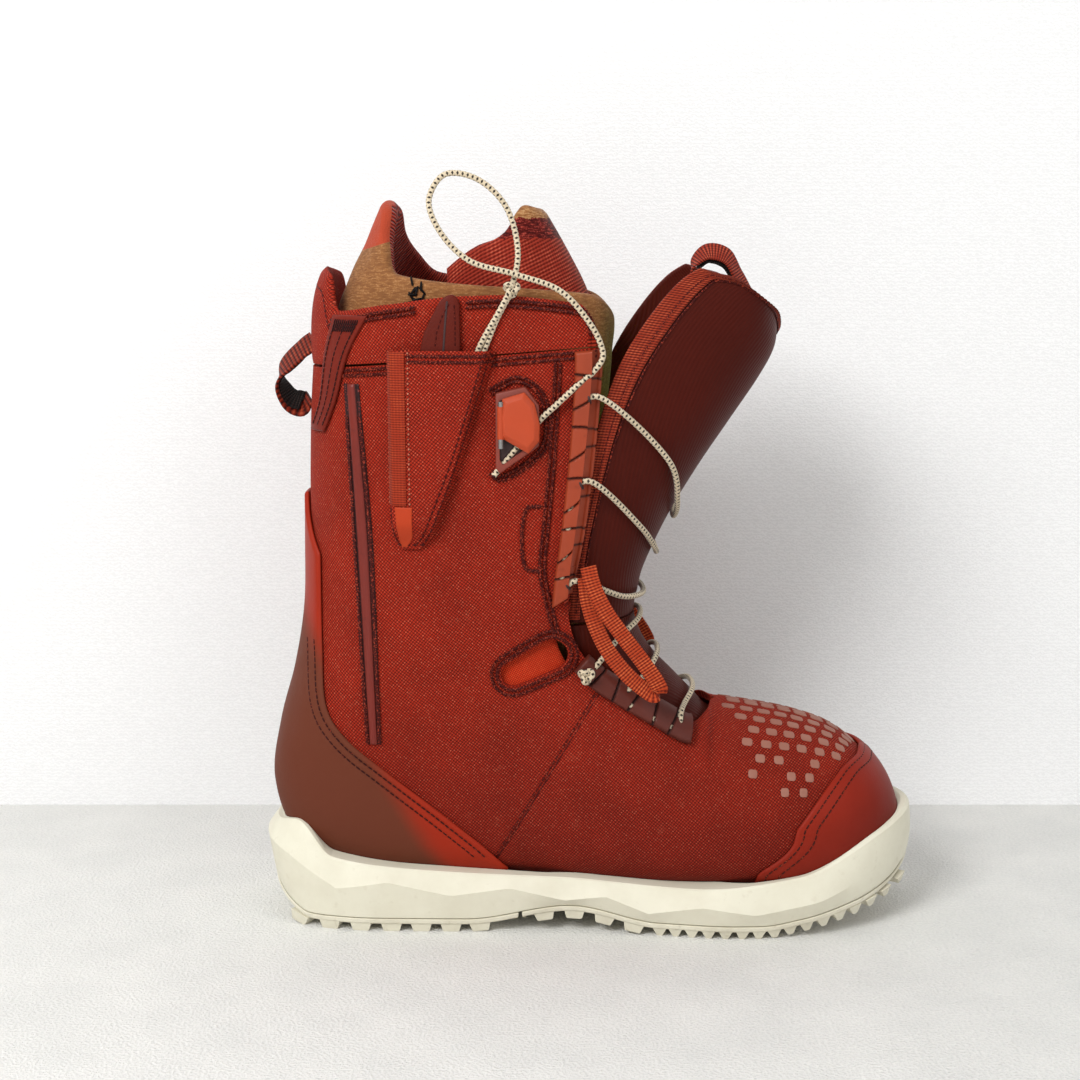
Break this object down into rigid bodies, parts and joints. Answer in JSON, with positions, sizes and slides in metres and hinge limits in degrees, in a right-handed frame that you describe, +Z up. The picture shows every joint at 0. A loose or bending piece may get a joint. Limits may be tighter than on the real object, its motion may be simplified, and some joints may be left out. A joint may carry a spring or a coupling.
{
  "type": "snowboard boot",
  "caption": "Soft snowboard boot with a removable inner boot, a hinged tongue pulled open, zone laces in moulded rails, lace locks with pull handles, and a lugged rubber sole.",
  "frame": {"origin": "on the ground, in the middle of the flat face of a heel tread lug", "axes": "+X towards the toe, +Z up, -Y towards the outer side of a right foot"},
  "size_m": [0.312, 0.1248, 0.3575],
  "materials": {
    "rubber_sole": "matt moulded",
    "board": "pressed fibre board",
    "steel": "satin",
    "woven_shell": "coarse basket weave",
    "coated_panel": "smooth, slightly grained",
    "guide": "moulded, satin",
    "accent": "webbing and suede",
    "lock_cap": "satin",
    "tongue_coating": "smooth coated cloth",
    "webbing": "ribbed tape",
    "lime_lining": "brushed cloth",
    "felt": "ribbed felt and mesh",
    "cord": "braided, with dark flecks",
    "handle": "satin"
  },
  "bodies": {
    "boot": {"collar_band": "woven_shell", "flex_underlay_lateral": "accent", "flex_underlay_medial": "accent", "footbed": "board", "heel_counter": "coated_panel", "heel_stiffener": "board", "instep_tab_lateral": "accent", "instep_tab_medial": "accent", "lasting_board": "board", "liner_boot": "felt", "lock_housing_lateral": "guide", "lock_housing_medial": "guide", "lock_pin_lateral": "steel", "lock_pin_medial": "steel", "loop_strap_lateral": "handle", "loop_strap_medial": "handle", "lower_lace": "cord", "lower_rail_lateral": "guide", "lower_rail_medial": "guide", "midsole": "rubber_sole", "outsole_forefoot": "rubber_sole", "outsole_heel": "rubber_sole", "pocket_lateral": "woven_shell", "pocket_medial": "woven_shell", "pull_lace_lateral": "cord", "pull_lace_medial": "cord", "rear_loop": "webbing", "seam_rib_lateral": "coated_panel", "seam_rib_medial": "coated_panel", "shank": "steel", "shell_quarter_lateral": "woven_shell", "shell_quarter_medial": "woven_shell", "shell_vamp": "woven_shell", "toe_cap": "coated_panel", "tongue_lower": "tongue_coating", "upper_lace": "cord", "upper_rail_lateral": "guide", "upper_rail_medial": "guide"},
    "tongue": {"tongue_upper": "tongue_coating", "tongue_binding": "webbing", "tongue_lining": "lime_lining", "tongue_loop": "webbing"},
    "inner_tongue": {"liner_tongue": "felt"},
    "handle_lateral": {"lace_handle_lateral": "handle"},
    "handle_medial": {"lace_handle_medial": "handle"},
    "cover_lateral": {"lock_cover_lateral": "lock_cap"},
    "cover_medial": {"lock_cover_medial": "lock_cap"}
  },
  "joints": [
    {"name": "tongue_fold", "type": "hinge", "parent": "boot", "child": "tongue", "pos_m": [0.094, 0, 0.1488], "axis": [0, -1, 0], "range_deg": [0, 23]},
    {"name": "inner_tongue_fold", "type": "hinge", "parent": "boot", "child": "inner_tongue", "pos_m": [0.112, 0, 0.122], "axis": [0, -1, 0], "range_deg": [0, 10]},
    {"name": "handle_lateral_pull", "type": "slide", "parent": "boot", "child": "handle_lateral", "axis": [0, 0, 1], "range_m": [0, 0.018]},
    {"name": "handle_medial_pull", "type": "slide", "parent": "boot", "child": "handle_medial", "axis": [0, 0, 1], "range_m": [0, 0.05]},
    {"name": "cover_lateral_open", "type": "hinge", "parent": "boot", "child": "cover_lateral", "pos_m": [0.0628, -0.0602, 0.245], "axis": [0, 0, -1], "range_deg": [0, 35], "stiffness_Nm_per_rad": 0.02, "springref_deg": -11.46},
    {"name": "cover_medial_open", "type": "hinge", "parent": "boot", "child": "cover_medial", "pos_m": [0.0628, 0.0602, 0.245], "axis": [0, 0, 1], "range_deg": [0, 35], "stiffness_Nm_per_rad": 0.02, "springref_deg": -11.46}
  ]
}
